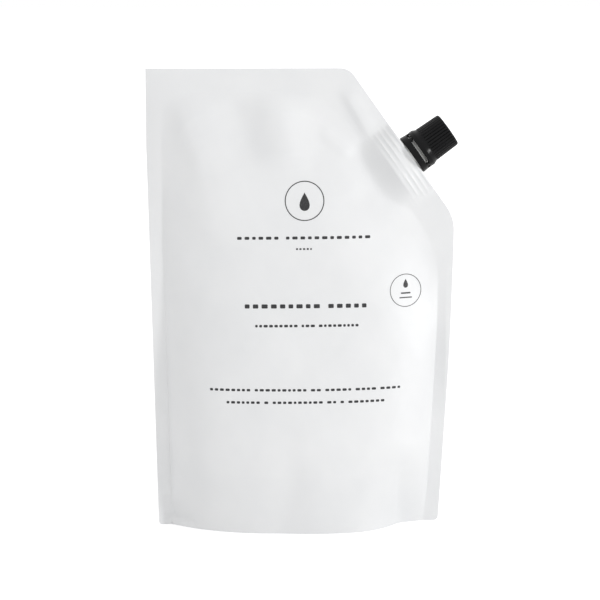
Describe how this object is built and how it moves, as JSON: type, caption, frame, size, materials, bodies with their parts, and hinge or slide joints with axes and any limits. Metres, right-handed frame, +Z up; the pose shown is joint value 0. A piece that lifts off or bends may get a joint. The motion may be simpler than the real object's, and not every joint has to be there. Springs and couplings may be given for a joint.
{
  "type": "hand soap refill pack",
  "caption": "Stand-up film pouch of liquid hand soap, sealed flat at its sides and top, with a bottom gusset and a screw-capped spout welded into its cut corner.",
  "frame": {"origin": "on the surface that the pack stands on, under the middle of the pouch", "axes": "+X across the pouch to the side with the spout, +Y from its front to its back, +Z up"},
  "size_m": [0.1614, 0.0504, 0.24],
  "materials": {
    "film": "satin laminated film",
    "spout": "satin, as moulded",
    "closure": "semi-gloss, as moulded"
  },
  "bodies": {
    "pack": {"pouch": "film", "spout": "spout"},
    "tamper_band": {"tamper_ring": "closure"},
    "cap": {"screw_cap": "closure"}
  },
  "joints": [
    {"name": "cap_turn", "type": "hinge", "parent": "pack", "child": "tamper_band", "pos_m": [0.05716, 0, 0.19457], "axis": [0.8145, 0, 0.5801], "range_deg": [0, 540]},
    {"name": "cap_rise", "type": "slide", "parent": "tamper_band", "child": "cap", "axis": [0.8145, 0, 0.5801], "range_m": [0, 0.0048]}
  ],
  "couplings": [
    {"joint": "cap_rise", "follows": "cap_turn", "m_per_rad": 0.00050929}
  ]
}
